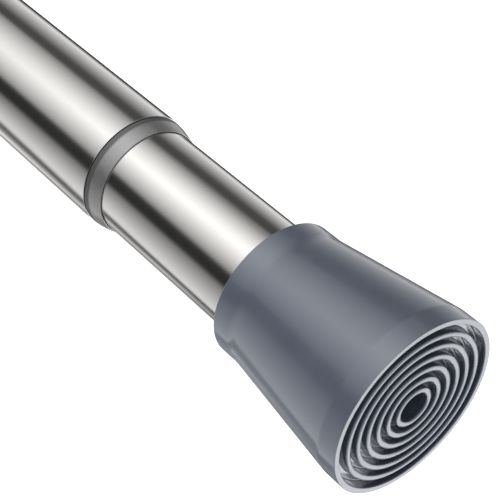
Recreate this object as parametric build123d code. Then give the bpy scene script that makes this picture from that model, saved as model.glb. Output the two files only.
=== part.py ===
"""A spring tension rod: two telescoping steel tubes with a rubber foot on each end.

The rod is wedged between two walls. Turning the thinner tube runs a nut along a coarse lead
screw and makes the rod longer. The screw stands on a compression spring inside the thicker
tube, so the last bit of length can be pushed in and the spring presses the feet on the walls.

The rod lies along +X. The origin is the centre of the face of the foot on the thicker tube,
and the other foot is at the +X end. All sizes are in millimetres, and the rod is modelled at
its shortest length with the spring relaxed.
"""

import os
from math import cos, pi, sin

from build123d import *

# Overall lengths
closed_length = 406.4  # from face to face with the screw run in, 16 in
travel = 203.2  # how much longer the screw makes the rod, 8 in

# Clearances
running_gap = 0.08  # all round between pieces that turn or slide in each other
press_gap = 0.02  # all round a piece that is pushed or glued into another
stop_gap = 0.3  # left between the nut and its stop at full length
closed_gap = 2.0  # left between the nut and the follower at the shortest length

# Tubes
tube_wall = 0.7
outer_tube_r = 12.7
inner_tube_r = 11.44
mouth_to_face = 77.83  # from the thicker tube's mouth to the face of the foot on the thinner

# Collar in the thicker tube's mouth
collar_length = 4.2
collar_back_r = 12.58
collar_mid_r = 12.24
collar_lip_r = 11.72
collar_sleeve = 14.0  # how deep its sleeve reaches into the tube

# Rubber feet
foot_length = 35.8
foot_face_r = 17.75
foot_band = 4.06  # straight band behind the face
foot_neck = 4.75  # straight neck on the tube
neck_wall = 2.76  # rubber round the tube
neck_blend_r = 9.0
band_blend_r = 5.0
foot_edge = 0.35
end_wall = 10.0  # rubber between the face and the end of the tube

# Rings on the face of a foot
rim_width = 1.1
rim_groove = 1.65
ring_width = 0.8
ring_groove = 1.42
ring_count = 6
ring_draft = 0.15  # how much wider each side of a ring is at its root
groove_depth = 2.1
centre_depth = 6.0

# Plugs in the tube ends
plug_flange = 1.6
plug_length = 12.0
plug_wall = 1.8
plug_pin_r = 1.5

# Compression spring
spring_length = 50.0
wire_r = 1.1
coil_r = 9.0  # to the middle of the wire
active_coils = 8
closed_coils = 1  # at each end
coil_touch_gap = 0.12  # between the turns of a closed end
coil_steps = 12  # straight runs in one turn
wire_sides = 8

# Bosses that the spring's ends sit on
boss_length = 5.0
boss_gap = 0.3

# Follower that the spring pushes, and the lead screw in it
follower_length = 12.0
screw_r = 6.0  # over the crests of the thread
screw_socket = 10.0  # how deep the screw sits in the follower
screw_pin_r = 1.5
pin_recess = 0.5  # how far the pin's ends lie under the surface

# Stop at the tip of the screw
stop_washer_r = 8.5
stop_washer_thick = 2.0
stop_screw_r = 2.0
stop_screw_length = 12.0
stop_head_r = 3.6
stop_head_thick = 2.4
stop_head_edge = 0.8

# Nut in the end of the thinner tube, with the guide ring round its head
nut_head = 8.0
nut_shank = 16.0
nut_pin_r = 1.5
nut_pin_length = 3.0
guide_width = 4.0
guide_depth = 2.2  # how deep its groove in the nut's head is
guide_split = 2.5

# Places worked out from the sizes above
outer_bore_r = outer_tube_r - tube_wall
inner_bore_r = inner_tube_r - tube_wall
tube_start = end_wall + plug_flange
tube_mouth = closed_length - mouth_to_face
tube_tip = closed_length - end_wall - plug_flange
spring_start = tube_start + plug_length
spring_end = spring_start + spring_length
follower_end = spring_end + follower_length
screw_start = follower_end - screw_socket
nut_start = follower_end + closed_gap
inner_tube_start = nut_start + nut_head
nut_end = inner_tube_start + nut_shank
screw_tip = nut_end + travel + stop_gap
screw_pin_x = follower_end - screw_socket / 2
plug_pin_x = tube_start + plug_length / 2
nut_pin_x = inner_tube_start + nut_shank / 2
guide_x = nut_start + nut_head / 2
boss_r = coil_r - wire_r - boss_gap
slide_r = outer_bore_r - running_gap


def turned(outline, blends=()):
    """Turn an outline of (x, radius) points about the rod's axis, rounding the named corners."""
    face = make_face(Polyline(*outline, close=True))
    for corner, radius in blends:
        vertex = face.vertices().sort_by_distance(corner)[0]
        face = fillet(vertex, radius)
    return revolve(face, Axis.X)


def tube(start, end, outside_r, inside_r):
    """A plain ring or tube along the rod."""
    return turned([(start, inside_r), (end, inside_r), (end, outside_r), (start, outside_r)])


def cross_pin(x, radius, reach):
    """A pin across the rod at x, reaching as far from the axis on both sides."""
    return Pos(x, 0, 0) * Rot(90, 0, 0) * Cylinder(radius, 2 * reach)


def foot(tube_r):
    """A moulded rubber foot: a flared cup on the tube with concentric rings on its face.

    The face lies at x = 0 and looks along -X.
    """
    rim_in_r = foot_face_r - rim_width
    ring_outside = rim_in_r - rim_groove
    pitch = ring_width + ring_groove
    ring_edges = []
    for number in range(ring_count):
        outside = ring_outside - number * pitch
        ring_edges.insert(0, (outside - ring_width, outside))

    outline = [(centre_depth, 0), (centre_depth, ring_edges[0][0] - ring_draft)]
    for inside, outside in ring_edges:
        if inside != ring_edges[0][0]:
            outline.append((groove_depth, inside - ring_draft))
        outline += [(0, inside), (0, outside), (groove_depth, outside + ring_draft)]
    outline += [(groove_depth, rim_in_r - ring_draft), (0, rim_in_r)]

    neck_r = tube_r + neck_wall
    band_corner = (foot_band, foot_face_r)
    neck_corner = (foot_length - foot_neck, neck_r)
    bore_r = tube_r + press_gap
    outline += [
        (0, foot_face_r - foot_edge),
        (foot_edge, foot_face_r),
        band_corner,
        neck_corner,
        (foot_length - foot_edge, neck_r),
        (foot_length, neck_r - foot_edge),
        (foot_length, bore_r),
        (end_wall, bore_r),
        (end_wall, 0),
    ]
    return turned(outline, [(band_corner, band_blend_r), (neck_corner, neck_blend_r)])


def outer_tube():
    """The thicker tube, with a hole across it for the plug's pin."""
    body = tube(tube_start, tube_mouth, outer_tube_r, outer_bore_r)
    return body - cross_pin(plug_pin_x, plug_pin_r, foot_face_r)


def mouth_collar():
    """The trim collar: a tapered nose in front of the mouth and a thin sleeve inside it."""
    bore_r = inner_tube_r + running_gap
    sleeve_r = outer_bore_r - press_gap
    nose = tube_mouth + collar_length
    back = (tube_mouth, collar_back_r)
    middle = (tube_mouth + collar_length / 2, collar_mid_r)
    lip = (nose, collar_lip_r)
    taper = ThreePointArc(back, middle, lip)
    rest = Polyline(
        lip,
        (nose, bore_r),
        (tube_mouth - collar_sleeve, bore_r),
        (tube_mouth - collar_sleeve, sleeve_r),
        (tube_mouth, sleeve_r),
        back,
    )
    return revolve(make_face([taper, rest]), Axis.X)


def spring_plug():
    """The plug pinned in the thicker tube, with the boss that the spring sits on."""
    skirt_r = outer_bore_r - press_gap
    body = turned(
        [
            (end_wall, 0),
            (end_wall, outer_tube_r),
            (tube_start, outer_tube_r),
            (tube_start, skirt_r),
            (spring_start, skirt_r),
            (spring_start, boss_r),
            (spring_start + boss_length, boss_r),
            (spring_start + boss_length, 0),
        ]
    )
    return body - cross_pin(plug_pin_x, plug_pin_r, foot_face_r)


def plug_pin():
    """The pin through the tube and its plug, under the rubber foot."""
    return cross_pin(plug_pin_x, plug_pin_r - press_gap, outer_tube_r - running_gap)


def coil_x(turn):
    """Where the wire's middle is along the rod after so many turns: closed, open, closed."""
    closed_pitch = 2 * wire_r + coil_touch_gap
    seat = wire_r + coil_touch_gap
    open_length = spring_length - 2 * seat - 2 * closed_coils * closed_pitch
    first = min(turn, closed_coils) * closed_pitch
    middle = min(max(turn - closed_coils, 0), active_coils) * open_length / active_coils
    last = max(turn - closed_coils - active_coils, 0) * closed_pitch
    return spring_start + seat + first + middle + last


def spring():
    """The compression spring, its wire carried round the coil in short straight runs."""
    runs = (active_coils + 2 * closed_coils) * coil_steps
    points = []
    for run in range(runs + 1):
        turn = run / coil_steps
        angle = 2 * pi * turn
        points.append((coil_x(turn), coil_r * cos(angle), coil_r * sin(angle)))
    path = Polyline(*points)
    section = Plane(origin=points[0], z_dir=path % 0) * RegularPolygon(wire_r, wire_sides)
    return sweep(section, path, transition=Transition.RIGHT)


def spring_follower():
    """The follower that slides in the thicker tube between the spring and the lead screw."""
    body = turned(
        [
            (spring_end - boss_length, 0),
            (spring_end - boss_length, boss_r),
            (spring_end, boss_r),
            (spring_end, slide_r),
            (follower_end, slide_r),
            (follower_end, screw_r + press_gap),
            (screw_start, screw_r + press_gap),
            (screw_start, 0),
        ]
    )
    return body - cross_pin(screw_pin_x, screw_pin_r, foot_face_r)


def lead_screw():
    """The lead screw, over its crests, drilled for its pin and for the stop's screw."""
    body = turned([(screw_start, 0), (screw_start, screw_r), (screw_tip, screw_r), (screw_tip, 0)])
    hole = turned(
        [
            (screw_tip - stop_screw_length, 0),
            (screw_tip - stop_screw_length, stop_screw_r + press_gap),
            (screw_tip, stop_screw_r + press_gap),
            (screw_tip, 0),
        ]
    )
    return body - hole - cross_pin(screw_pin_x, screw_pin_r, foot_face_r)


def screw_pin():
    """The pin that holds the lead screw in the follower."""
    return cross_pin(screw_pin_x, screw_pin_r - press_gap, slide_r - pin_recess)


def stop_washer():
    """The washer that stops the nut at the tip of the screw."""
    start, end = screw_tip, screw_tip + stop_washer_thick
    return tube(start, end, stop_washer_r, stop_screw_r + press_gap)


def stop_screw():
    """The pan-head screw that holds the stop washer."""
    seat = screw_tip + stop_washer_thick
    top = seat + stop_head_thick
    return turned(
        [
            (screw_tip - stop_screw_length + stop_gap, 0),
            (screw_tip - stop_screw_length + stop_gap, stop_screw_r),
            (seat, stop_screw_r),
            (seat, stop_head_r),
            (top - stop_head_edge, stop_head_r),
            (top, stop_head_r - stop_head_edge),
            (top, 0),
        ]
    )


def nut_pins():
    """The two short pins that hold the nut in the thinner tube."""
    pins = []
    for side in (1, -1):
        middle = side * (inner_tube_r - running_gap - nut_pin_length / 2)
        pin = Cylinder(nut_pin_r - press_gap, nut_pin_length)
        pins.append(Pos(nut_pin_x, middle, 0) * Rot(90, 0, 0) * pin)
    return Compound(pins)


def nut_pin_holes():
    """What the pins' holes take out of the nut and of the tube."""
    holes = []
    for side in (1, -1):
        middle = side * inner_tube_r
        hole = Cylinder(nut_pin_r, 2 * (nut_pin_length + running_gap))
        holes.append(Pos(nut_pin_x, middle, 0) * Rot(90, 0, 0) * hole)
    return holes


def drive_nut():
    """The nut: a head in front of the thinner tube's end, grooved for the guide ring."""
    bore_r = screw_r + running_gap
    groove_r = inner_tube_r - guide_depth
    groove_start = guide_x - guide_width / 2 - running_gap
    groove_end = guide_x + guide_width / 2 + running_gap
    body = turned(
        [
            (nut_start, bore_r),
            (nut_start, inner_tube_r),
            (groove_start, inner_tube_r),
            (groove_start, groove_r),
            (groove_end, groove_r),
            (groove_end, inner_tube_r),
            (inner_tube_start, inner_tube_r),
            (inner_tube_start, inner_bore_r - press_gap),
            (nut_end, inner_bore_r - press_gap),
            (nut_end, bore_r),
        ]
    )
    for hole in nut_pin_holes():
        body -= hole
    return body


def guide_ring():
    """The split ring that centres the nut in the thicker tube and does not turn with it."""
    inside_r = inner_tube_r - guide_depth + running_gap
    ring = tube(guide_x - guide_width / 2, guide_x + guide_width / 2, slide_r, inside_r)
    slot = Pos(guide_x, 0, slide_r) * Box(2 * guide_width, guide_split, 2 * guide_depth + slide_r)
    return ring - slot


def inner_tube():
    """The thinner tube, with the holes for the nut's pins."""
    body = tube(inner_tube_start, tube_tip, inner_tube_r, inner_bore_r)
    for hole in nut_pin_holes():
        body -= hole
    return body


def end_plug():
    """The hollow plug in the end of the thinner tube, under the rubber foot."""
    skirt_r = inner_bore_r - press_gap
    face = closed_length - end_wall
    return turned(
        [
            (face, 0),
            (face, inner_tube_r),
            (tube_tip, inner_tube_r),
            (tube_tip, skirt_r),
            (tube_tip - plug_length, skirt_r),
            (tube_tip - plug_length, skirt_r - plug_wall),
            (tube_tip, skirt_r - plug_wall),
            (tube_tip, 0),
        ]
    )


pieces = {
    "outer_tube": outer_tube(),
    "mouth_collar": mouth_collar(),
    "fixed_foot": foot(outer_tube_r),
    "spring_plug": spring_plug(),
    "plug_pin": plug_pin(),
    "spring": spring(),
    "spring_follower": spring_follower(),
    "lead_screw": lead_screw(),
    "screw_pin": screw_pin(),
    "stop_washer": stop_washer(),
    "stop_screw": stop_screw(),
    "drive_nut": drive_nut(),
    "nut_pins": nut_pins(),
    "guide_ring": guide_ring(),
    "inner_tube": inner_tube(),
    "end_plug": end_plug(),
    "free_foot": Pos(closed_length, 0, 0) * Rot(0, 0, 180) * foot(inner_tube_r),
}

os.makedirs("parts", exist_ok=True)
for name, piece in pieces.items():
    export_step(piece, f"parts/{name}.step")
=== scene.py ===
# %% [markdown]
# # A spring tension rod
# Two steel tubes slide in each other, and each carries a flared rubber foot. A coarse screw inside
# sets the length, and a coil spring presses the feet on the walls. Nearly every piece of such a rod
# is turned, drawn or moulded round one axis, so this lesson builds its surfaces from outlines that
# are carried round that axis, and spends its care on edges, finishes and light.

# %% The frame
from math import ceil, cos, pi, radians, sin

import bpy
import numpy as np
from mathutils import Matrix, Vector


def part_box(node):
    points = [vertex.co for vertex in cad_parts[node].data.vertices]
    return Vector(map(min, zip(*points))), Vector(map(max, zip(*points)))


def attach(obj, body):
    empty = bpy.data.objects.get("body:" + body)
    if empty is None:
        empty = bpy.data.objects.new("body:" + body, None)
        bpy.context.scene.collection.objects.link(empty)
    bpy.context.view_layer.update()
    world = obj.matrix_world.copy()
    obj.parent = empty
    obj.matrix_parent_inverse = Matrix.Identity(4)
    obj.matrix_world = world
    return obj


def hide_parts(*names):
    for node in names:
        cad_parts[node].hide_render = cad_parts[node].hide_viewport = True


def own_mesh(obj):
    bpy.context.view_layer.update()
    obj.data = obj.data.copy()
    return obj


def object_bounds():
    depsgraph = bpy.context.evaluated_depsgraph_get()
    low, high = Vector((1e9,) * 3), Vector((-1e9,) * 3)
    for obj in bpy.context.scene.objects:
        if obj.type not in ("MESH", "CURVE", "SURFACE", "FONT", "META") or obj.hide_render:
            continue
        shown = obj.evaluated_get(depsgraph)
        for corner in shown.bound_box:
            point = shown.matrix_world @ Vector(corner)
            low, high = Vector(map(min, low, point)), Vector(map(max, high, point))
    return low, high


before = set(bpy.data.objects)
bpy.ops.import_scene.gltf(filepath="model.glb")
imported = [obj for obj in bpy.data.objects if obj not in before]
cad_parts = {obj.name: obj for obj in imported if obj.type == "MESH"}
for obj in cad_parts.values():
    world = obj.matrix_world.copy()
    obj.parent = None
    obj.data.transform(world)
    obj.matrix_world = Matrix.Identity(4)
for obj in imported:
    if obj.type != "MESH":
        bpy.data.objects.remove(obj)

cad_low, cad_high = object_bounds()

# %% [markdown]
# ## Sizes
# The frame already says where each piece lies, so places are read from it. What a box can't tell,
# such as the wall of a tube or the shape of an edge, is a named size here, in millimetres times mm.
# Pieces that slide keep a running_gap and fitted ones a press_gap, end_wall is the rubber in front
# of a tube's end, and an edge that is only broken is rounded by small_edge or soft_edge.

# %% Sizes read from the frame
mm = 0.001
cm = 10 * mm


def reach(node):
    """Where a turned piece starts and ends along the rod, and its largest radius."""
    low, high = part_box(node)
    return low.x, high.x, high.y


rod_length = cad_high[0]
outer_start, mouth, outer_r = reach("outer_tube")
inner_start, inner_tip, inner_r = reach("inner_tube")
face_r = reach("free_foot")[2]
foot_length = reach("fixed_foot")[1]
tube_wall = 0.7 * mm
running_gap = 0.08 * mm
press_gap = 0.02 * mm
outer_bore_r = outer_r - tube_wall
inner_bore_r = inner_r - tube_wall
slide_r = outer_bore_r - running_gap
end_wall = 10 * mm
small_edge = 0.1 * mm
soft_edge = 0.2 * mm
print(f"Rod {rod_length / mm:.1f} mm, tubes {2 * outer_r / mm:.1f} and {2 * inner_r / mm:.2f} mm")

# %% [markdown]
# ## Camera
# The photograph looks down on the free foot from close by, through a long lens. Its place was fitted
# to the edges of both tubes and to the ellipses of the rings, and is given here by the centre of
# the foot's face: how far that lies to the right of the view's middle, below it, and away.

# %% Camera
view_turn = radians(49.646)
view_tilt = radians(42.193)
view_roll = radians(1.53)
face_centre = Vector((rod_length, 0, 0))
face_right, face_down, face_away = 27.509 * mm, 26.465 * mm, 232.031 * mm

level_right = Vector((cos(view_turn), sin(view_turn), 0))
to_camera = Vector((sin(view_turn) * cos(view_tilt), -cos(view_turn) * cos(view_tilt), sin(view_tilt)))
to_right = level_right * cos(view_roll) + to_camera.cross(level_right) * sin(view_roll)
upwards = to_camera.cross(to_right)
camera_data = bpy.data.cameras.new("camera")
camera_data.lens = 101.9
camera_data.sensor_width = 36
camera_data.clip_start = 5 * mm
camera_data.clip_end = 50
camera = bpy.data.objects.new("camera", camera_data)
bpy.context.collection.objects.link(camera)
camera_spot = face_centre - to_right * face_right + upwards * face_down + to_camera * face_away
turned_to = Matrix((to_right, upwards, to_camera)).transposed().to_4x4()
camera.matrix_world = Matrix.Translation(camera_spot) @ turned_to
bpy.context.scene.camera = camera
print("The camera stands at", [round(value, 4) for value in camera_spot])

# %% [markdown]
# ## Outlines with real edges
# No edge of a real piece is perfectly sharp: a moulded ring has a rounded crest and a cut tube has a
# broken edge, and those small rounds catch the light. A bevel modifier could add them, but an
# outline knows its corners exactly, so each corner gets its own arc before the outline is turned.

# %% Outlines
arc_step = radians(12)
holding = 0.06 * mm
nearly_nothing = 1e-9



def rounded_outline(corners, closed=True):
    """Points (x, r) of an outline through corners (x, r, rounding).

    Where the line turns by t at a corner, an arc of radius q takes over q tan(t / 2) before it and
    its points are the arc's start turned about the arc's centre by equal steps of t. One more point
    before and after each arc, holding away from it, keeps the shading of the straight runs flat.
    """
    corners = np.array(corners, float)
    spots, rounding = corners[:, :2], corners[:, 2]
    way = np.roll(spots, -1, axis=0) - spots
    run = np.hypot(*way.T)
    way = way / run[:, None]
    into = np.roll(way, 1, axis=0)
    turn = np.arctan2(into[:, 0] * way[:, 1] - into[:, 1] * way[:, 0], (into * way).sum(1))
    lead = rounding * np.tan(np.abs(turn) / 2)
    if not closed:
        turn[[0, -1]] = lead[[0, -1]] = 0
    straight = run - lead - np.roll(lead, -1)
    if (straight[: None if closed else -1] < -nearly_nothing).any():
        raise ValueError(f"roundings meet in outline near {spots[straight.argmin()] / mm}")
    points = []
    for corner, start_way, end_way, angle, radius, back in zip(spots, into, way, turn, rounding, lead):
        if back == 0:
            points.append(corner[None])
            continue
        side = np.sign(angle)
        start = corner - start_way * back
        centre = start + side * radius * np.array([-start_way[1], start_way[0]])
        steps = np.linspace(0, angle, ceil(abs(angle) / arc_step) + 1)
        arm, c, s = start - centre, np.cos(steps), np.sin(steps)
        arc = centre + np.stack([arm[0] * c - arm[1] * s, arm[0] * s + arm[1] * c], axis=1)
        points += [(start - start_way * holding)[None], arc, (arc[-1] + end_way * holding)[None]]
    return np.concatenate(points)


square = [(0, 0, holding), (0, mm, holding), (mm, mm, holding), (mm, 0, holding)]
print("A square with four rounded corners becomes", len(rounded_outline(square)), "points")

# %% [markdown]
# ## Meshes from points and faces
# A mesh can be built from Python lists, but that is slow for large grids, so whole arrays are
# handed over at once. Faces that look inwards would spoil both the shading and the cuts, and the
# sign of the volume tells. Edges that turn sharply keep their crease, and all others are smooth.

# %% Meshes
sharp_from = radians(35)


def new_piece(name, points, faces):
    """A closed mesh object from points and a list of face arrays, turned the right way out.

    Its volume is a sixth of the sum of p0 . (p1 x p2) over its triangles. A negative volume means
    that the faces look inwards, and their corners are then taken the other way round.
    """
    halves = [face[:, :3] for face in faces]
    halves += [face[:, [0, 2, 3]] for face in faces if face.shape[1] == 4]
    p0, p1, p2 = points[np.concatenate(halves)].transpose(1, 0, 2)
    volume = (p0 * np.cross(p1, p2)).sum() / 6
    if volume < 0:
        faces = [face[:, ::-1] for face in faces]
    mesh = bpy.data.meshes.new(name)
    mesh.vertices.add(len(points))
    mesh.vertices.foreach_set("co", points.astype(np.float32).ravel())
    corners = np.concatenate([face.ravel() for face in faces]).astype(np.int32)
    sizes = np.concatenate([np.full(len(face), face.shape[1], np.int32) for face in faces])
    mesh.loops.add(len(corners))
    mesh.loops.foreach_set("vertex_index", corners)
    mesh.polygons.add(len(sizes))
    mesh.polygons.foreach_set("loop_start", np.cumsum(sizes, dtype=np.int32) - sizes)
    mesh.polygons.foreach_set("use_smooth", np.ones(len(sizes), bool))
    mesh.update(calc_edges=True)
    mesh.validate()
    mesh.set_sharp_from_angle(angle=sharp_from)
    piece = bpy.data.objects.new(name, mesh)
    bpy.context.collection.objects.link(piece)
    print(f"{name}: {len(sizes)} faces, {abs(volume) / cm**3:.2f} cubic centimetres")
    return piece


def grid_faces(rows, columns, closed):
    """Four-cornered faces of a grid that joins up round its columns and, if closed, its rows."""
    index = np.arange(rows * columns).reshape(rows, columns)
    beside = np.roll(index, -1, axis=1)
    faces = np.stack([index, beside, np.roll(beside, -1, axis=0), np.roll(index, -1, axis=0)], axis=-1)
    return faces[: rows if closed else rows - 1].reshape(-1, 4)


def end_fans(rows, sides):
    """Three-cornered faces from a grid's first and last row to two poles that follow its points."""
    rim = np.arange(sides)
    beside, last, pole = np.roll(rim, -1), (rows - 1) * sides, rows * sides
    first_fan = np.stack([np.full(sides, pole), beside, rim], axis=1)
    last_fan = np.stack([np.full(sides, pole + 1), last + rim, last + beside], axis=1)
    return np.concatenate([first_fan, last_fan])


print("A tube of 3 rings with 8 sides has", len(grid_faces(3, 8, False)), "faces")

# %% [markdown]
# ## Turning an outline
# A lathe, a mould or a drawing die all make the same kind of surface: each point (x, r) of the
# outline runs round the axis and visits (x, r cos a, r sin a). A screw modifier could do it too, but
# a grid worked out in one go gives even faces and closes both the seam and the poles.

# %% Turned surfaces
around = 256
ring_sides, nut_sides, screw_sides, pin_sides = 128, 96, 64, 48


def turned_grid(corners, closed=True, sides=around, cut=None):
    """The outline's points carried round the rod's axis: (x, r) goes to (x, r cos a, r sin a).

    cut(x, r, a) takes something off the radius, as a thread does. An outline that isn't closed
    starts and ends on the axis, and each end becomes one pole.
    """
    outline = rounded_outline(corners, closed)
    if not closed:
        poles, outline = outline[[0, -1], :1] * [1, 0, 0], outline[1:-1]
    angle = np.linspace(0, 2 * pi, sides, endpoint=False)
    x, r = outline[:, :1] + 0 * angle, outline[:, 1:] + 0 * angle
    if cut:
        r = r - cut(x, r, angle)
    points = np.stack([x, r * np.cos(angle), r * np.sin(angle)], axis=-1).reshape(-1, 3)
    faces = [grid_faces(len(outline), sides, closed)]
    if not closed:
        points = np.concatenate([points, poles])
        faces.append(end_fans(len(outline), sides))
    return points, faces


def turned(name, corners, **choices):
    """One piece from a turned outline."""
    return new_piece(name, *turned_grid(corners, **choices))


print("Turned surfaces have", around, "sides, and small ones", ring_sides, "or fewer")

# %% [markdown]
# ## Holes across the rod, and dressing a piece
# Pins are fitted through drilled holes, and no outline turned round the rod can hold a hole across
# it. A drill is a turned surface too, laid on its side, and a Boolean takes it out. A ready piece
# then takes the place of its solid in the frame, rides on the same body and wears its finish.

# %% Cutting and dressing
pin_r = 1.5 * mm


def cut_with(piece, *cutters):
    """Takes the cutters' shapes out of a piece, and marks its sharp edges again.

    The mesh that comes out of the cuts has an empty material slot. It is cleared, because the
    piece's own finish would come second to it.
    """
    for cutter in cutters:
        modifier = piece.modifiers.new("cut", "BOOLEAN")
        modifier.operation = "DIFFERENCE"
        modifier.solver = "MANIFOLD"
        modifier.object = cutter
    whole = piece.data
    shown = piece.evaluated_get(bpy.context.evaluated_depsgraph_get())
    piece.data = bpy.data.meshes.new_from_object(shown)
    piece.data.materials.clear()
    piece.modifiers.clear()
    bpy.data.meshes.remove(whole)
    for cutter in cutters:
        bpy.data.meshes.remove(cutter.data)
    piece.data.set_sharp_from_angle(angle=sharp_from)
    print(f"{piece.name}: {len(cutters)} cuts, now {len(piece.data.polygons)} faces")
    return piece


def cross_grid(x, radius, start, end, edge):
    """A cylinder across the rod at x, along Y from start to end: an outline turned, then laid over."""
    section = [(start, 0, 0), (start, radius, edge), (end, radius, edge), (end, 0, 0)]
    points, faces = turned_grid(section, closed=False, sides=pin_sides)
    return points[:, [1, 0, 2]] + [x, 0, 0], faces


def drill(x, start=-face_r, end=face_r):
    """A cutter for a pin's hole across the rod."""
    return new_piece("drill", *cross_grid(x, pin_r, start, end, 0))


def stands_for(piece, node, body, material):
    """The piece takes a CAD node's place, moves with its body and wears its finish."""
    piece.data.materials.append(material)
    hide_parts(node)
    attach(piece, body)
    return piece


print(f"Drills for pins are {2 * pin_r / mm:.0f} mm thick")

# %% [markdown]
# ## Helpers for node trees
# Materials and light are trees of nodes. Each node could be added, set and linked in lines of its
# own, but the sums get long that way. With these helpers one line adds a node and names each of its
# sockets once, with a value or with the socket that it follows.

# %% Node helpers
def add_node(tree, kind, sockets=(), **settings):
    """A shader node with its plain settings, and each socket given a value or linked to another."""
    node = tree.nodes.new(kind)
    for key, value in settings.items():
        setattr(node, key, value)
    for key, value in dict(sockets).items():
        if isinstance(value, bpy.types.NodeSocket):
            tree.links.new(value, node.inputs[key])
        else:
            node.inputs[key].default_value = value
    return node


def maths(tree, operation, *values):
    """The outcome of one maths node."""
    return add_node(tree, "ShaderNodeMath", enumerate(values), operation=operation).outputs["Value"]


def stepped(tree, value, start, end):
    """A smooth step of the value: nought at start, one at end."""
    limits = {"Value": value, "From Min": start, "From Max": end}
    return add_node(tree, "ShaderNodeMapRange", limits, interpolation_type="SMOOTHSTEP").outputs["Result"]


def mixed(tree, factor, first, second, blend="MIX"):
    """Two colours mixed. A mix node keeps its colour sockets behind those of its other kinds."""
    colours = {"Factor": factor, 6: first, 7: second}
    return add_node(tree, "ShaderNodeMix", colours, data_type="RGBA", blend_type=blend).outputs[2]


def coordinates(tree, kind):
    """The x, y and z of a texture coordinate."""
    place = add_node(tree, "ShaderNodeTexCoord").outputs[kind]
    return add_node(tree, "ShaderNodeSeparateXYZ", {"Vector": place}).outputs


helpers = add_node, maths, stepped, mixed, coordinates
print("Helpers for nodes:", [helper.__name__ for helper in helpers])

# %% [markdown]
# ## Grain that several finishes share
# Polished steel, rubber and nylon all have a fine grain and a slow unevenness, only at other sizes.
# One node group holds both noises and puts out two values that change over the surface. Each
# material decides what they do to its colour, its roughness and its relief.

# %% Shared grain
def grain_group():
    """Two noises in the piece's own coordinates: one of the grain's size, one far wider."""
    group = bpy.data.node_groups.new("grain", "ShaderNodeTree")
    for socket, start in (("Fine Scale", 4000.0), ("Wide Scale", 60.0), ("Stretch", 1.0)):
        made = group.interface.new_socket(socket, in_out="INPUT", socket_type="NodeSocketFloat")
        made.default_value = start
    for socket in ("Fine", "Wide"):
        group.interface.new_socket(socket, in_out="OUTPUT", socket_type="NodeSocketFloat")
    given = add_node(group, "NodeGroupInput").outputs
    place = add_node(group, "ShaderNodeTexCoord").outputs["Object"]
    stretch = add_node(group, "ShaderNodeCombineXYZ", {"X": given["Stretch"], "Y": 1.0, "Z": 1.0})
    factors = {0: place, 1: stretch.outputs["Vector"]}
    drawn = add_node(group, "ShaderNodeVectorMath", factors, operation="MULTIPLY").outputs["Vector"]
    noises = {}
    for name, detail, roughness in (("Fine", 3.0, 0.6), ("Wide", 2.0, 0.5)):
        sockets = {"Scale": given[name + " Scale"], "Detail": detail, "Roughness": roughness}
        noise = add_node(group, "ShaderNodeTexNoise", {"Vector": drawn, **sockets})
        noises[name] = noise.outputs["Fac"]
    add_node(group, "NodeGroupOutput", noises)
    return group


grain = grain_group()
print("The grain has the sockets", [socket.name for socket in grain.interface.items_tree])

# %% [markdown]
# ## A finish
# A real surface is never one even colour: it is a little duller or darker in places, and its grain
# breaks up a highlight. So a finish is a pair of colours and a pair of roughnesses, and the grain
# moves between them. The ways it differs otherwise, such as sheen or coat, are plain constants.

# %% A finish
noise_range = 0.3, 0.7


def finish(name, colours, roughness, relief, scales, stretch=1.0, grain_share=0.4, **constants):
    """A material whose colour, roughness and relief follow the shared grain.

    colours and roughness are pairs of values, for the low and the high side of the wide noise, and
    the fine noise has a share in the roughness, which runs from one to the other over noise_range.
    relief is the height of the grain, and scales are its size and that of the wide noise.
    """
    material = bpy.data.materials.new(name)
    material.use_nodes = True
    tree = material.node_tree
    shader = tree.nodes["Principled BSDF"]
    for key, value in constants.items():
        shader.inputs[key.replace("_", " ")].default_value = value
    sizes = {"Fine Scale": 1 / scales[0], "Wide Scale": 1 / scales[1], "Stretch": stretch}
    fine, wide = add_node(tree, "ShaderNodeGroup", sizes, node_tree=grain).outputs
    both = add_node(tree, "ShaderNodeMix", {"Factor": grain_share, "A": wide, "B": fine})
    limits = dict(zip(("From Min", "From Max", "To Min", "To Max"), (*noise_range, *roughness)))
    rough = add_node(tree, "ShaderNodeMapRange", {"Value": both.outputs["Result"], **limits})
    bump = add_node(tree, "ShaderNodeBump", {"Strength": 1.0, "Distance": relief, "Height": fine})
    colour = mixed(tree, wide, (*colours[0], 1), (*colours[1], 1))
    tree.links.new(colour, shader.inputs["Base Color"])
    tree.links.new(rough.outputs["Result"], shader.inputs["Roughness"])
    tree.links.new(bump.outputs["Normal"], shader.inputs["Normal"])
    return material


print("The grain moves each roughness while it runs from", noise_range[0], "to", noise_range[1])

# %% [markdown]
# ## Finishes that show
# The tubes are polished and nickel plated, so they mirror the studio with a little blur, drawn out
# along the tube. The collar is satin grey. The feet are a dense blue-grey rubber with a satin skin
# that mirrors the lamps as broad soft bands: a coat gives the mirror, and a sheen the dusty edge.

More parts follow.
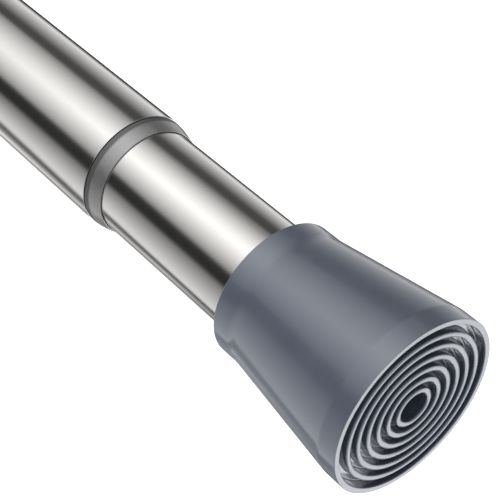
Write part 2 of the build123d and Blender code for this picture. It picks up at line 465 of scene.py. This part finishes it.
# %% Finishes that show
polished_steel = finish(
    "polished_steel",
    colours=((0.78, 0.765, 0.745), (0.82, 0.805, 0.785)),
    roughness=(0.13, 0.17),
    relief=0.0002 * mm,
    scales=(0.25 * mm, 6 * mm),
    stretch=0.03,
    Metallic=1.0,
)
collar_grey = finish(
    "collar_grey",
    colours=((0.395, 0.395, 0.40), (0.435, 0.435, 0.44)),
    roughness=(0.26, 0.31),
    relief=0.001 * mm,
    scales=(0.12 * mm, 3 * mm),
    Metallic=0.7,
)
foot_rubber = finish(
    "foot_rubber",
    colours=((0.100, 0.116, 0.160), (0.114, 0.132, 0.182)),
    roughness=(0.32, 0.40),
    relief=0.004 * mm,
    scales=(0.16 * mm, 5 * mm),
    IOR=2.1,
    Specular_Tint=(0.84, 0.91, 1.0, 1),
    Sheen_Weight=0.22,
    Sheen_Roughness=0.3,
    Sheen_Tint=(0.9, 0.95, 1.0, 1),
    Coat_Weight=0.85,
    Coat_Roughness=0.09,
    Coat_IOR=1.7,
)
print("Finishes:", sorted(material.name for material in bpy.data.materials if material.users))

# %% [markdown]
# ## Finishes inside
# The plugs, the follower and the screw are moulded nylon, which lets a little light in. Spring wire
# is dark from its tempering, and the pins and the stop are plated steel. What both nylons share,
# and both steels, is written once.

# %% Finishes inside
moulded = {"relief": 0.004 * mm, "scales": (0.25 * mm, 4 * mm)}
metal = {"relief": 0.001 * mm, "scales": (0.15 * mm, 2 * mm), "Metallic": 1.0}
white_nylon = finish(
    "white_nylon",
    colours=((0.74, 0.74, 0.70), (0.82, 0.82, 0.78)),
    roughness=(0.38, 0.52),
    Subsurface_Weight=0.15,
    Subsurface_Scale=0.001,
    **moulded,
)
black_nylon = finish(
    "black_nylon",
    colours=((0.020, 0.020, 0.021), (0.032, 0.032, 0.033)),
    roughness=(0.36, 0.5),
    **moulded,
)
spring_steel = finish(
    "spring_steel",
    colours=((0.27, 0.26, 0.25), (0.38, 0.37, 0.36)),
    roughness=(0.22, 0.38),
    **metal,
)
plain_steel = finish(
    "plain_steel",
    colours=((0.56, 0.57, 0.58), (0.66, 0.67, 0.68)),
    roughness=(0.24, 0.38),
    **metal,
)
print("Finishes:", sorted(material.name for material in bpy.data.materials if material.users))

# %% [markdown]
# ## Masks for colour and roughness, and shade painted in the grooves
# The face of a moulded foot stays shiny in its grooves, where nothing rubs it, and its colour is darkened
# there as painted shade. The collar is darker and duller on its land beside the mouth. Two materials on
# one piece would meet in a hard line. A mask worked out from a point's place on the rod changes colour
# and roughness over a fraction of a millimetre instead. Each pair of sizes says where its mask starts and
# where it is full: in depth behind the face, in from the face's edge, or along the collar from the mouth.

# %% Masks
# In the grooves the foot's colour is multiplied darker as painted shade. The lower roughness there is
# real gloss.
groove_painted_shade, groove_roughness = 0.45, 0.15
groove_starts = 0.15 * mm, 0.45 * mm
groove_ends = 3.8 * mm, 3.4 * mm
groove_insets = 0.5 * mm, 0.8 * mm
# On the collar's land beside the mouth the colour is multiplied darker and the roughness raised.
land_share, land_roughness = 0.42, 0.5
land_ends = 1.65 * mm, 0.9 * mm


def masked(material, mask, colour_share, roughness_to):
    """Where the mask is one, the colour is multiplied by its share and the roughness replaced."""
    tree = material.node_tree
    shader = tree.nodes["Principled BSDF"]
    for key, blend, value in (
        ("Base Color", "MULTIPLY", colour_share),
        ("Roughness", "MIX", roughness_to),
    ):
        before = shader.inputs[key].links[0].from_socket
        changed = mixed(tree, mask, before, (value, value, value, 1), blend)
        tree.links.new(changed, shader.inputs[key])


# This mask picks out the grooves, where shade is painted into the colour and the roughness drops.
def groove_shade_and_gloss_mask(tree):
    """One inside the grooves of either foot: deeper than the crests, and inside the rim.

    The depth behind the nearer face is half the rod's length less |x - half|, and the radius is the
    length of (0, y, z).
    """
    x, y, z = coordinates(tree, "Object")
    from_middle = maths(tree, "ABSOLUTE", maths(tree, "SUBTRACT", x, rod_length / 2))
    across = add_node(tree, "ShaderNodeCombineXYZ", {"Y": y, "Z": z}).outputs["Vector"]
    radius = add_node(tree, "ShaderNodeVectorMath", {0: across}, operation="LENGTH").outputs["Value"]
    mask = stepped(tree, radius, *(face_r - inset for inset in groove_insets))
    for depths in (groove_starts, groove_ends):
        share = stepped(tree, from_middle, *(rod_length / 2 - depth for depth in depths))
        mask = maths(tree, "MULTIPLY", mask, share)
    return mask


def land_mask(tree):
    """One on the collar's land beside the mouth, fading out towards its nose."""
    x = coordinates(tree, "Object")["X"]
    return stepped(tree, x, *(mouth + end for end in land_ends))


# Painted shade darkens the foot's colour in its grooves, and their roughness is lowered there.
masked(foot_rubber, groove_shade_and_gloss_mask(foot_rubber.node_tree), groove_painted_shade, groove_roughness)
masked(collar_grey, land_mask(collar_grey.node_tree), land_share, land_roughness)
print("Nodes with masks:", [len(look.node_tree.nodes) for look in (foot_rubber, collar_grey)])

# %% [markdown]
# ## The tubes
# Each tube is drawn steel with a wall of less than a millimetre. Its ends are cut and the burr is
# broken, so both ends of the wall get a small round. The thinner tube slides in the thicker one.

# %% Tubes
cut_edge = 0.05 * mm
plug_pin_x = outer_start + 6 * mm
nut_pin_x = inner_start + 8 * mm
round_hole = 2.5 * mm


def tube_corners(start, end, outside_r, inside_r, hole_x):
    """A ring's section with all four edges rounded, and its long runs divided beside a hole."""
    beside = [hole_x - round_hole, hole_x + round_hole]
    return [
        (start, inside_r, cut_edge),
        *((x, inside_r, 0) for x in beside),
        (end, inside_r, cut_edge),
        (end, outside_r, cut_edge),
        *((x, outside_r, 0) for x in beside[::-1]),
        (start, outside_r, cut_edge),
    ]


for name, node, body, start, end, outside_r, inside_r, hole_x in (
    ("thicker_tube", "outer_tube", "outer", outer_start, mouth, outer_r, outer_bore_r, plug_pin_x),
    ("thinner_tube", "inner_tube", "inner", inner_start, inner_tip, inner_r, inner_bore_r, nut_pin_x),
):
    tube = turned(name, tube_corners(start, end, outside_r, inside_r, hole_x))
    cut_with(tube, drill(hole_x))
    stands_for(tube, node, body, polished_steel)

# %% [markdown]
# ## The collar
# A grey collar trims the mouth of the thicker tube. It tapers on a slow curve towards the thinner
# tube, so its nose is an arc through three measured radii, and a thin sleeve holds it in the tube.
# Beside the mouth a straight land falls away a little, and a small step leads up to the curve.

# %% Collar
collar_start, nose, collar_back_r = reach("mouth_collar")
collar_mid_r = 12.24 * mm
collar_lip_r = 11.72 * mm
collar_gap = 0.03 * mm
collar_bore_r = inner_r + collar_gap
collar_lip_edge = 0.03 * mm
lip_wall = 0.16 * mm
lip_depth = 0.2 * mm
shoulder_gap = 0.15 * mm
land_length = 1.15 * mm
land_step = 0.03 * mm
land_drop = 0.21 * mm
land_edge, land_turn = 0.05 * mm, 0.02 * mm
nose_points = 12


def taper_corners():
    """The nose's outside, an arc drawn as a parabola r = back + b u + c u u, u from 0 to 1."""
    u = np.linspace(land_length / (nose - mouth), 1, nose_points)[:-1]
    bend = 2 * (collar_back_r + collar_lip_r - 2 * collar_mid_r)
    slope = collar_lip_r - collar_back_r - bend
    radii = collar_back_r + slope * u + bend * u * u
    return [(mouth + share * (nose - mouth), radius, 0) for share, radius in zip(u, radii)]


tapered_collar = turned(
    "tapered_collar",
    [
        (mouth + shoulder_gap, collar_back_r - land_step, land_edge),
        (mouth + land_length, collar_back_r - land_step - land_drop, land_turn),
        *taper_corners(),
        (nose, collar_lip_r, collar_lip_edge),
        (nose, collar_lip_r - lip_wall, collar_lip_edge),
        (nose - lip_depth, collar_bore_r, 0),
        (collar_start, collar_bore_r, small_edge),
        (collar_start, outer_bore_r - press_gap, small_edge),
        (mouth + shoulder_gap, outer_bore_r - press_gap, 0),
    ],
)
stands_for(tapered_collar, "mouth_collar", "outer", collar_grey)

# %% [markdown]
# ## The feet
# Each foot is one rubber moulding: a neck on the tube, a cone that flares to a band, and a face of
# concentric rings that flex and grip a wall. The rings are thin walls. Their crests are flat in the
# middle and slope away at both shoulders, so that a lamp draws a bright line round each one. Deep
# drafted grooves lie between them, and make the face look like a target of light and dark.

# %% Feet
foot_band = 4.06 * mm
foot_neck = 4.75 * mm
neck_wall = 2.76 * mm
neck_blend_r = 9 * mm
band_blend_r = 3 * mm
foot_edge = 0.3 * mm
rim_width = 1.1 * mm
rim_groove = 1.58 * mm
ring_width = 0.94 * mm
ring_groove = 1.28 * mm
ring_count = 6
ring_round = 0.06 * mm
ring_shoulder, ring_slope, shoulder_round = 0.27 * mm, 0.1 * mm, 0.3 * mm
rim_round = 0.15 * mm
ring_draft = 0.15 * mm
groove_depth = 2.1 * mm
groove_round = 0.2 * mm
centre_depth = 6 * mm


def foot_corners(tube_r):
    """The foot's section from the middle of its face, over the rings and the flank, to its socket."""
    pitch = ring_width + ring_groove
    rim_inside = face_r - rim_width
    ring_outsides = rim_inside - rim_groove - pitch * np.arange(ring_count)[::-1]
    hole_r = ring_outsides[0] - ring_width
    corners = [(centre_depth, 0, 0), (centre_depth, hole_r - ring_draft, 3 * groove_round)]
    for outside in ring_outsides:
        inside = outside - ring_width
        if inside > hole_r:
            corners.append((groove_depth, inside - ring_draft, groove_round))
        corners += [
            (ring_slope, inside, ring_round),
            (0, inside + ring_shoulder, shoulder_round),
            (0, outside - ring_shoulder, shoulder_round),
            (ring_slope, outside, ring_round),
            (groove_depth, outside + ring_draft, groove_round),
        ]
    neck_r = tube_r + neck_wall
    socket_r = tube_r + press_gap
    corners += [
        (groove_depth, rim_inside - ring_draft, groove_round),
        (0, rim_inside, rim_round),
        (0, face_r, rim_round),
        (foot_band, face_r, band_blend_r),
        (foot_length - foot_neck, neck_r, neck_blend_r),
        (foot_length, neck_r, foot_edge),
        (foot_length, socket_r, small_edge),
        (end_wall, socket_r, small_edge),
        (end_wall, 0, 0),
    ]
    return corners


def facing_free_end(corners):
    """The same outline at the rod's other end, where x counts back from the free face."""
    return [(rod_length - x, r, rounding) for x, r, rounding in corners]


fixed_foot = turned("fixed_foot_moulding", foot_corners(outer_r), closed=False)
stands_for(fixed_foot, "fixed_foot", "outer", foot_rubber)
free_foot = turned("free_foot_moulding", facing_free_end(foot_corners(inner_r)), closed=False)
stands_for(free_foot, "free_foot", "inner", foot_rubber)

# %% [markdown]
# ## Plugs and follower
# Inside, nylon mouldings hold everything in line: a plug pinned in the thicker tube with a boss for
# the spring, a follower that slides and carries the screw, and a plug under the free foot. Moulded
# edges are rounded more than cut ones. The holes are drilled after moulding, as the real ones are.

# %% Plugs and follower
plug_length = 12 * mm
plug_wall = 1.8 * mm
spring_start = outer_start + plug_length
spring_length = 50 * mm
spring_end = spring_start + spring_length
boss_length = 5 * mm
boss_r = 7.6 * mm
follower_end = reach("spring_follower")[1]
screw_start, screw_tip, screw_r = reach("lead_screw")
screw_pin_x = (screw_start + follower_end) / 2
moulded_edge = 0.4 * mm

skirt_r = outer_bore_r - press_gap
plug = turned(
    "pinned_plug",
    [
        (end_wall, 0, 0),
        (end_wall, outer_r, moulded_edge),
        (outer_start, outer_r, small_edge),
        (outer_start, skirt_r, small_edge),
        (spring_start, skirt_r, moulded_edge),
        (spring_start, boss_r, moulded_edge),
        (spring_start + boss_length, boss_r, 2 * moulded_edge),
        (spring_start + boss_length, 0, 0),
    ],
    closed=False,
)
cut_with(plug, drill(plug_pin_x))
stands_for(plug, "spring_plug", "outer", white_nylon)

follower = turned(
    "sliding_follower",
    [
        (spring_end - boss_length, 0, 0),
        (spring_end - boss_length, boss_r, 2 * moulded_edge),
        (spring_end, boss_r, moulded_edge),
        (spring_end, slide_r, moulded_edge),
        (follower_end, slide_r, moulded_edge),
        (follower_end, screw_r + press_gap, soft_edge),
        (screw_start, screw_r + press_gap, soft_edge),
        (screw_start, 0, 0),
    ],
    closed=False,
)
cut_with(follower, drill(screw_pin_x))
stands_for(follower, "spring_follower", "core", white_nylon)

end_face = rod_length - end_wall
skirt_r = inner_bore_r - press_gap
end_plug = turned(
    "hollow_plug",
    [
        (end_face, 0, 0),
        (end_face, inner_r, moulded_edge),
        (inner_tip, inner_r, small_edge),
        (inner_tip, skirt_r, small_edge),
        (inner_tip - plug_length, skirt_r, moulded_edge),
        (inner_tip - plug_length, skirt_r - plug_wall, moulded_edge),
        (inner_tip, skirt_r - plug_wall, moulded_edge),
        (inner_tip, 0, 0),
    ],
    closed=False,
)
stands_for(end_plug, "end_plug", "inner", black_nylon)

# %% [markdown]
# ## Cross pins
# A steel pin through the tube holds the plug, and one through the follower holds the screw. The
# first is covered by the foot, and the second stays short of the tube that its follower slides in.

# %% Cross pins
pin_recess = 0.5 * mm
pin_edge = 0.25 * mm

for name, node, body, x, end in (
    ("plug_cross_pin", "plug_pin", "outer", plug_pin_x, outer_r - running_gap),
    ("screw_cross_pin", "screw_pin", "core", screw_pin_x, slide_r - pin_recess),
):
    pin = new_piece(name, *cross_grid(x, pin_r - press_gap, -end, end, pin_edge))
    stands_for(pin, node, body, plain_steel)

# %% [markdown]
# ## The screw
# The screw has a coarse round thread, as moulded screws do, with one start and six millimetres to
# the turn. A thread could be swept along a helix and joined to a core. Here it is one grid whose
# radius changes with x and with the angle, which leaves no seam where the thread runs out.

# %% Screw
lead = 6 * mm
thread_depth = 1.1 * mm
steps_per_turn = 16
flatness = 2.2
run_out = 2 * mm
thread_reach = 1.01 * moulded_edge
stop_screw_r = 2 * mm
stop_hole_depth = 12 * mm


def thread_cut(x, r, angle):
    """How deep a right-handed round thread is cut at (x, angle).

    With w = cos(2 pi x / lead - angle), the depth is d (1 - tanh(k w) / tanh(k)) / 2. It only cuts
    radii within thread_reach of the screw's own, and it begins where the follower ends.
    """
    wave = np.cos(2 * pi * x / lead - angle)
    depth = thread_depth * (1 - np.tanh(flatness * wave) / np.tanh(flatness)) / 2
    begun = np.clip((x - follower_end - run_out / 2) / run_out, 0, 1)
    return depth * begun * begun * (3 - 2 * begun) * (np.abs(r - screw_r) < thread_reach)


def run(start, end, r):
    """Points along a threaded run, steps_per_turn to a turn of the thread."""
    count = ceil(abs(end - start) / lead * steps_per_turn)
    return [(x, r, 0) for x in np.linspace(start, end, count + 1)[1:-1]]


screw = turned(
    "threaded_screw",
    [
        (screw_start, 0, 0),
        (screw_start, screw_r, moulded_edge),
        *run(screw_start + moulded_edge, screw_tip - moulded_edge, screw_r),
        (screw_tip, screw_r, moulded_edge),
        (screw_tip, stop_screw_r + press_gap, small_edge),
        (screw_tip - stop_hole_depth, stop_screw_r + press_gap, small_edge),
        (screw_tip - stop_hole_depth, 0, 0),
    ],
    closed=False,
    sides=screw_sides,
    cut=thread_cut,
)
cut_with(screw, drill(screw_pin_x))
stands_for(screw, "lead_screw", "core", white_nylon)

# %% [markdown]
# ## The nut and its pins
# The nut plugs the inner end of the thinner tube. Its bore takes the same thread off a wider radius
# and keeps its phase, so both stay in mesh when the joints turn the nut and move it along. Two
# short pins hold it in the tube. They are two closed surfaces in one mesh, as the frame has them.

# %% Nut and pins
nut_start, nut_end = reach("drive_nut")[:2]
thread_gap = 0.12 * mm
nut_pin_length = 3 * mm
guide_width = 4 * mm
guide_depth = 2.2 * mm
guide_x = nut_start + 4 * mm

bore_r = screw_r + thread_gap
groove_r = inner_r - guide_depth
groove_start = guide_x - guide_width / 2 - running_gap
groove_end = guide_x + guide_width / 2 + running_gap
nut = turned(
    "running_nut",
    [
        (nut_start, bore_r, small_edge),
        (nut_start, inner_r, moulded_edge),
        (groove_start, inner_r, small_edge),
        (groove_start, groove_r, soft_edge),
        (groove_end, groove_r, soft_edge),
        (groove_end, inner_r, small_edge),
        (inner_start, inner_r, small_edge),
        (inner_start, inner_bore_r - press_gap, small_edge),
        (nut_end, inner_bore_r - press_gap, moulded_edge),
        (nut_end, bore_r, small_edge),
        *run(nut_end - moulded_edge, nut_start + moulded_edge, bore_r),
    ],
    sides=nut_sides,
    cut=thread_cut,
)
pin_end = inner_r - running_gap
pin_start = pin_end - nut_pin_length
drill_start = pin_start - running_gap
cut_with(nut, drill(nut_pin_x, drill_start, face_r), drill(nut_pin_x, -face_r, -drill_start))
stands_for(nut, "drive_nut", "inner", black_nylon)


def merged(name, grids):
    """Several closed surfaces as one piece."""
    offsets = np.cumsum([0] + [len(points) for points, _ in grids])
    faces = [face + offset for (_, group), offset in zip(grids, offsets) for face in group]
    return new_piece(name, np.concatenate([points for points, _ in grids]), faces)


spans = (pin_start, pin_end), (-pin_end, -pin_start)
both_pins = [cross_grid(nut_pin_x, pin_r - press_gap, *span, pin_edge) for span in spans]
pins = merged("nut_cross_pins", both_pins)
stands_for(pins, "nut_pins", "inner", plain_steel)

# %% [markdown]
# ## The guide ring
# A nylon ring in the nut's groove keeps the nut in the middle of the thicker tube. It is split, so
# that it can be sprung over the nut, and the split is sawn out with a block.

# %% Guide ring
guide_split = 2.5 * mm
box_sides = np.array([[0, 1, 3, 2], [4, 6, 7, 5], [0, 4, 5, 1], [2, 3, 7, 6], [0, 2, 6, 4], [1, 5, 7, 3]])


def block(name, xs, ys, zs, shares=(1, 1)):
    """A box for cutting, with y and z multiplied by a share of their own at each of its x."""
    corners = [[x, y * share, z * share] for x, share in zip(xs, shares) for y in ys for z in zs]
    return new_piece(name, np.array(corners), [box_sides])


guide_low, guide_high = guide_x - guide_width / 2, guide_x + guide_width / 2
guide = turned(
    "split_guide_ring",
    [
        (guide_low, groove_r + running_gap, small_edge),
        (guide_high, groove_r + running_gap, small_edge),
        (guide_high, slide_r, moulded_edge),
        (guide_low, slide_r, moulded_edge),
    ],
    sides=ring_sides,
)
saw_ends = guide_low - lead, guide_high + lead
cut_with(guide, block("saw", saw_ends, (-guide_split / 2, guide_split / 2), (0, face_r)))
stands_for(guide, "guide_ring", "guide", white_nylon)

# %% [markdown]
# ## The stop on the screw's tip
# A washer on a pan-head screw keeps the nut from running off. The head has a cross recess, cut by
# two blocks that narrow towards the bottom as a screwdriver's tip does.

# %% Stop
washer_end, washer_r = reach("stop_washer")[1:]
stop_screw_end, head_top, head_r = reach("stop_screw")
washer_edge = 0.3 * mm
head_round = 1.2 * mm
recess_depth = 1.4 * mm
recess_reach = 2.0 * mm
recess_width = 0.8 * mm
recess_floor_share = 0.25

washer = turned(
    "stop_disc",
    [
        (screw_tip, stop_screw_r + press_gap, small_edge),
        (washer_end, stop_screw_r + press_gap, small_edge),
        (washer_end, washer_r, washer_edge),
        (screw_tip, washer_r, washer_edge),
    ],
    sides=ring_sides,
)
stands_for(washer, "stop_washer", "core", plain_steel)
stop_screw = turned(
    "stop_pan_screw",
    [
        (stop_screw_end, 0, 0),
        (stop_screw_end, stop_screw_r, washer_edge),
        (washer_end, stop_screw_r, small_edge),
        (washer_end, head_r, soft_edge),
        (head_top, head_r, head_round),
        (head_top, 0, 0),
    ],
    closed=False,
    sides=nut_sides,
)


def recess_arm(half_y, half_z):
    """One arm of the recess, full size at the head's top and narrowed to a share at its floor.

    The block ends as far above the top as the floor lies below it, with 2 - share.
    """
    ends = head_top - recess_depth, head_top + recess_depth
    shares = recess_floor_share, 2 - recess_floor_share
    return block("recess", ends, (-half_y, half_y), (-half_z, half_z), shares)


arms = recess_arm(recess_reach, recess_width / 2), recess_arm(recess_width / 2, recess_reach)
cut_with(stop_screw, *arms)
stands_for(stop_screw, "stop_screw", "core", plain_steel)

# %% [markdown]
# ## The spring
# The compression spring is round wire, coiled right-handed, with one closed turn at each end. A
# curve with a round bevel could draw it too, but a grid along the wire lets the pitch widen and
# close up smoothly, and gives ends that are closed. On the real rod it is squashed when the rod is
# pushed in, and here it is built at one length.

# %% Spring
wire_r = 1.1 * mm
coil_r = 9 * mm
active_coils = 8
closed_coils = 1
coil_touch_gap = 0.12 * mm
coil_steps = 48
wire_sides = 16
easing = 0.3


def coil_path(turn):
    """Where the wire's middle is along the rod after so many turns.

    The pitch is the closed one, and the open one takes over between turns a and b, each eased by
    the integral of a smooth step: e (u^3 - u^4 / 2) with u running over e turns.
    """
    closed_pitch = 2 * wire_r + coil_touch_gap
    seat = wire_r + coil_touch_gap
    open_pitch = (spring_length - 2 * seat - 2 * closed_coils * closed_pitch) / active_coils

    def opened(centre):
        u = np.clip((turn - centre) / easing + 0.5, 0, 1)
        return easing * (u**3 - u**4 / 2) + np.maximum(turn - centre - easing / 2, 0)

    widened = opened(closed_coils) - opened(closed_coils + active_coils)
    return spring_start + seat + closed_pitch * turn + (open_pitch - closed_pitch) * widened


def coiled_spring():
    """A round wire of radius w on the coil: its middle plus w (cos b N + sin b B)."""
    turns = active_coils + 2 * closed_coils
    turn = np.linspace(0, turns, turns * coil_steps + 1)
    angle = 2 * pi * turn
    middle = np.stack([coil_path(turn), coil_r * np.cos(angle), coil_r * np.sin(angle)], axis=1)
    along = np.gradient(middle, axis=0)
    along /= np.linalg.norm(along, axis=1)[:, None]
    outward = np.stack([0 * angle, np.cos(angle), np.sin(angle)], axis=1)
    outward -= along * (along * outward).sum(1)[:, None]
    outward /= np.linalg.norm(outward, axis=1)[:, None]
    across = np.cross(along, outward)
    round_wire = np.linspace(0, 2 * pi, wire_sides, endpoint=False)[:, None]
    ring = np.cos(round_wire) * outward[:, None] + np.sin(round_wire) * across[:, None]
    points = (middle[:, None] + wire_r * ring).reshape(-1, 3)
    points = np.concatenate([points, middle[[0, -1]]])
    faces = [grid_faces(len(turn), wire_sides, False), end_fans(len(turn), wire_sides)]
    return new_piece("coil_spring", points, faces)


spring = coiled_spring()
stands_for(spring, "spring", "outer", spring_steel)
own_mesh(spring)

# %% [markdown]
# ## Light
# A polished tube shows nothing but what stands round it. Each of its bands is one lamp or card that
# runs along the rod: a soft overhead lamp between two black cards, and paler screens in front and
# behind. They are given by how far round the rod they stand, and a world shader paints them, so
# the bands stay straight from every side. The camera itself sees plain white behind the rod.
#
# A panel is a row of stops, and its light runs evenly from one to the next. A stop gives an angle in
# degrees, from level behind the rod and up over the top, then a brightness, the degrees it leans,
# and the share of light it loses. The last two are multiplied by (seen_x - x) / tube_spread, with x
# the part of a ray's direction that runs along the rod: this is 1 on the thicker tube, and falls
# towards the foot down to -foot_lean. So a positive loss dims the thicker tube. A negative one
# brightens it, and beyond foot_loss_starts it dims the foot by foot_loss, to foot_keeps at least.

# %% Studio round the rod
studio = {
    "gap below the window": [(303, 0.03, 0, 0), (333.5, 0.03, 3.3, 0)],
    "window behind": [(346.5, 0.95, 3.3, 0), (353, 0.76, 4, 0), (24, 0.23, 5, 0)],
    "black card behind": [(34, 0.07, 5, 0), (51, 0.06, 5, 0)],
    "overhead lamp": [
        (58, 0.31, 0.4, 0),
        (89, 1.00, 4, 0.10),
        (107, 1.37, 2, 0.26),
        (125, 0.93, 0, 0.10),
        (149, 0.38, -1, 0),
    ],
    "black card in front": [(156, 0.025, -2, 0), (177, 0.025, -3, 0)],
    "screen in front": [(185, 0.25, -3, 0), (234.8, 0.93, -13.4, 0.08)],
    "gap below the screen": [(242.8, 0.05, -12.4, 0), (249, 0.06, -9, 0)],
    "table in front": [(267.7, 0.77, -0.1, -0.98)],
    "gap under the rod": [(274, 0.22, -1, 0), (282, 0.32, 0, -0.55)],
    "table behind": [(294, 0.75, 0, -0.4)],
}
end_glow = 0.35
seen_x = -0.65
tube_spread = 0.1
foot_lean = 2.2
foot_loss_starts, foot_loss, foot_keeps = 0.55, 1.25, 0.2
widest_lean = 20
end_glow_starts, end_glow_full = 0.85, 0.98


def studio_world():
    """World light by the angle round the rod's axis: the arc tangent of z over y, as a turn.

    A first ramp gives each stop's lean and loss, and the angle turned back by the lean then reads
    the brightness from a second. Near the rod's own direction it all fades to an even glow.
    """
    world = bpy.data.worlds.new("studio")
    bpy.context.scene.world = world
    world.use_nodes = True
    tree = world.node_tree
    tree.nodes.clear()

    stops = np.array(sorted(stop for panel in studio.values() for stop in panel), float)
    ahead, behind = stops[0] + [360, 0, 0, 0], stops[-1]
    seam = behind + (ahead - behind) * (360 - behind[0]) / (ahead[0] - behind[0])
    stops = np.concatenate([[[0, *seam[1:]]], stops, [seam]])
    brightest = stops[:, 1].max()
    held = stops[:, 2] / widest_lean, stops[:, 3], np.zeros(len(stops))
    leans = 0.5 + np.stack(held, axis=1) / 2
    levels = np.repeat(stops[:, 1:2] / brightest, 3, axis=1)

    def ramp(name, place, colours):
        """A colour ramp once round the rod, with a colour for each stop."""
        node = add_node(tree, "ShaderNodeValToRGB", {"Fac": place}, name=name, label=name)
        while len(node.color_ramp.elements) < len(stops):
            node.color_ramp.elements.new(0.5)
        for element, at, colour in zip(node.color_ramp.elements, stops[:, 0] / 360, colours):
            element.position = at
            element.color = (*colour, 1)
        return node.outputs["Color"]

    x, y, z = coordinates(tree, "Generated")
    angle = maths(tree, "ARCTAN2", z, y)
    turn = maths(tree, "FRACT", maths(tree, "MULTIPLY_ADD", angle, 1 / (2 * pi), 1.0))
    limits = {
        "Value": x,
        "From Min": seen_x - tube_spread,
        "From Max": seen_x + foot_lean * tube_spread,
        "To Min": 1.0,
        "To Max": -foot_lean,
    }
    along = add_node(tree, "ShaderNodeMapRange", limits).outputs["Result"]
    parts = add_node(tree, "ShaderNodeSeparateColor", {"Color": ramp("leans", turn, leans)}).outputs
    lean = maths(tree, "MULTIPLY_ADD", parts["Red"], 2 * widest_lean / 360, -widest_lean / 360)
    lean = maths(tree, "MULTIPLY", lean, along)
    turned_by = maths(tree, "FRACT", maths(tree, "ADD", maths(tree, "SUBTRACT", turn, lean), 1.0))
    level = ramp("levels", turned_by, levels)

    fade = maths(tree, "MULTIPLY_ADD", parts["Green"], 2.0, -1.0)
    far = maths(tree, "MAXIMUM", along, 0.0)
    near = maths(tree, "MULTIPLY_ADD", along, foot_loss, foot_loss * foot_loss_starts)
    share = maths(tree, "ADD", far, maths(tree, "MINIMUM", near, 0.0))
    kept = maths(tree, "SUBTRACT", 1.0, maths(tree, "MULTIPLY", fade, share))
    kept = maths(tree, "MAXIMUM", maths(tree, "MINIMUM", kept, maths(tree, "ADD", far, 1.0)), foot_keeps)
    dimmed = add_node(tree, "ShaderNodeVectorMath", {0: level, "Scale": kept}, operation="SCALE")
    near_end = stepped(tree, maths(tree, "ABSOLUTE", x), end_glow_starts, end_glow_full)
    even = (end_glow / brightest,) * 3 + (1,)
    light = mixed(tree, near_end, dimmed.outputs["Vector"], even)

    lamps = add_node(tree, "ShaderNodeBackground", {"Color": light, "Strength": brightest})
    plain = add_node(tree, "ShaderNodeBackground", {"Color": (1, 1, 1, 1), "Strength": 1.0})
    seen = add_node(tree, "ShaderNodeLightPath").outputs["Is Camera Ray"]
    shown = {"Fac": seen, 1: lamps.outputs["Background"], 2: plain.outputs["Background"]}
    chosen = add_node(tree, "ShaderNodeMixShader", shown).outputs["Shader"]
    add_node(tree, "ShaderNodeOutputWorld", {"Surface": chosen})
    return len(stops)


print("The studio round the rod has", studio_world(), "stops")

# %% [markdown]
# ## Lamps at the foot
# The face of the foot looks along the rod, where the bands don't reach. One soft lamp stands in
# front of it, and a bright table below mirrors in the crests of its rings. It stands where the
# camera's rays go once the flat of the face has mirrored them, raised a little to meet the slopes
# of the crests.

# %% Lamps at the foot
lamp_colour = 1.0, 0.985, 0.965
face_lamp_way = Vector((0.7, -0.05, 0.1)).normalized()
table_raised = 0.22


def soft_lamp(name, way, distance, size, power):
    """A lamp that faces the foot from so far away.

    Its width starts out square to the rod and to the camera's way, its height is the cross product
    of the way towards the lamp with that, and the width is then set square to both.
    """
    data = bpy.data.lights.new(name, "AREA")
    data.shape = "RECTANGLE"
    data.size, data.size_y = size
    data.energy = power
    data.color = lamp_colour
    lamp = bpy.data.objects.new(name, data)
    bpy.context.collection.objects.link(lamp)
    across = to_camera.cross(Vector((1, 0, 0))).normalized()
    up = way.cross(across).normalized()
    across = up.cross(way)
    facing = Matrix((across, up, way)).transposed().to_4x4()
    lamp.matrix_world = Matrix.Translation(face_centre + way * distance) @ facing
    lamp.visible_camera = False
    return lamp


seen_along = (face_centre - camera_spot).normalized()
mirrored = Vector((-seen_along.x, seen_along.y, seen_along.z))
soft_lamp("face_lamp", face_lamp_way, distance=0.7, size=(0.4, 0.4), power=0.25)
raised = Vector((0, to_camera.y, to_camera.z)).normalized() * table_raised
table_way = (mirrored + raised).normalized()
soft_lamp("face_table", table_way, distance=0.6, size=(0.52, 0.3), power=0.95)
print("Lamps and their power:", {lamp.name: round(lamp.energy, 2) for lamp in bpy.data.lights})

# %% [markdown]
# ## Floor
# The rod would hang between two walls, so the floor lies well below it and catches no shadow of its
# shape. It glows a little, which keeps it evenly white, and no mirror on the rod sees it.

# %% Floor
floor_depth = 0.45
floor_half = 12
floor_look = {
    "Base Color": (0.9, 0.9, 0.9, 1),
    "Roughness": 0.9,
    "Emission Color": (1, 1, 1, 1),
    "Emission Strength": 0.8,
}

corners = np.array([[-1, -1, 0], [1, -1, 0], [1, 1, 0], [-1, 1, 0]]) * floor_half
floor_mesh = bpy.data.meshes.new("floor")
floor_mesh.from_pydata((corners - [0, 0, floor_depth]).tolist(), [], [[0, 1, 2, 3]])
floor = bpy.data.objects.new("floor", floor_mesh)
bpy.context.collection.objects.link(floor)
floor_white = bpy.data.materials.new("floor_white")
floor_white.use_nodes = True
floor_shader = floor_white.node_tree.nodes["Principled BSDF"]
for key, value in floor_look.items():
    floor_shader.inputs[key].default_value = value
floor_mesh.materials.append(floor_white)
floor.visible_glossy = False

scene = bpy.context.scene
scene.view_settings.view_transform = "Standard"
scene.view_settings.look = "None"
print("The floor lies", floor_depth, "m under the rod and is", 2 * floor_half, "m wide")
